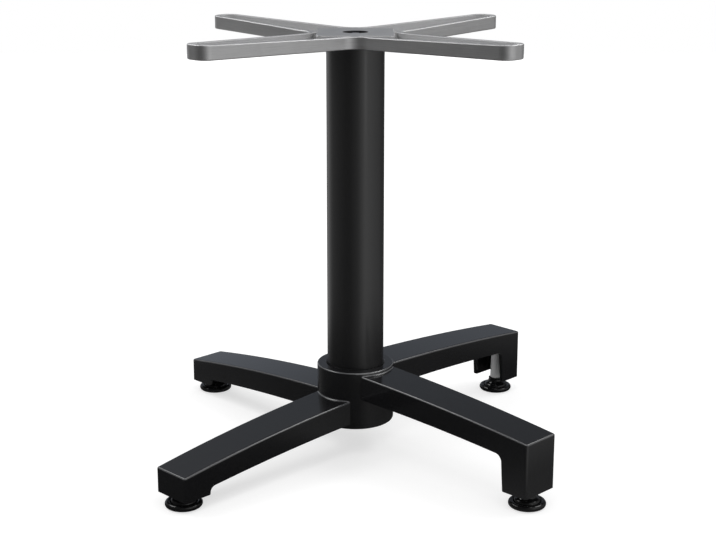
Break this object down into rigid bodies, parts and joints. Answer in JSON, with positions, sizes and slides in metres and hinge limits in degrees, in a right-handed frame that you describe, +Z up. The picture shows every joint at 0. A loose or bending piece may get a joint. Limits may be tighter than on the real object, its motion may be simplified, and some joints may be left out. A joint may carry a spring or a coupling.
{
  "type": "four star table base",
  "caption": "Table base: a round column on a cast star of legs at two levels, a bare cast spider for the top and levelling feet that screw in and out.",
  "frame": {"origin": "on the floor, under the column's axis", "axes": "+Z up along the column, -Y towards the viewer, +X to the viewer's right, where the high pair of legs is"},
  "size_m": [0.4914, 0.4914, 0.5689],
  "materials": {
    "black_casting": "black satin powder coat on an aluminium casting",
    "black_tube": "black satin powder coat on steel tube",
    "bare_casting": "bare casting with ground faces",
    "zinc_steel": "zinc plated",
    "bush_steel": "turned, bare",
    "foot_plastic": "glossy moulded nylon"
  },
  "bodies": {
    "base": {"star_base": "black_casting", "column_tube": "black_tube", "top_spider": "bare_casting", "tie_rod": "zinc_steel", "top_washer": "zinc_steel", "top_nut": "zinc_steel", "clamp_washer": "zinc_steel", "bottom_nut": "zinc_steel", "foot_bush_front_left": "bush_steel", "foot_bush_rear_left": "bush_steel", "foot_bush_front_right": "bush_steel", "foot_bush_rear_right": "bush_steel"},
    "foot_front_left": {"foot_pad_front_left": "foot_plastic", "foot_stud_front_left": "zinc_steel"},
    "foot_rear_left": {"foot_pad_rear_left": "foot_plastic", "foot_stud_rear_left": "zinc_steel"},
    "foot_front_right": {"foot_pad_front_right": "foot_plastic", "foot_stud_front_right": "zinc_steel"},
    "foot_rear_right": {"foot_pad_rear_right": "foot_plastic", "foot_stud_rear_right": "zinc_steel"}
  },
  "joints": [
    {"name": "front_left_foot_screw", "type": "slide", "parent": "base", "child": "foot_front_left", "axis": [0, 0, -1], "range_m": [0, 0.012]},
    {"name": "rear_left_foot_screw", "type": "slide", "parent": "base", "child": "foot_rear_left", "axis": [0, 0, -1], "range_m": [0, 0.012]},
    {"name": "front_right_foot_screw", "type": "slide", "parent": "base", "child": "foot_front_right", "axis": [0, 0, -1], "range_m": [0, 0.012]},
    {"name": "rear_right_foot_screw", "type": "slide", "parent": "base", "child": "foot_rear_right", "axis": [0, 0, -1], "range_m": [0, 0.012]}
  ]
}
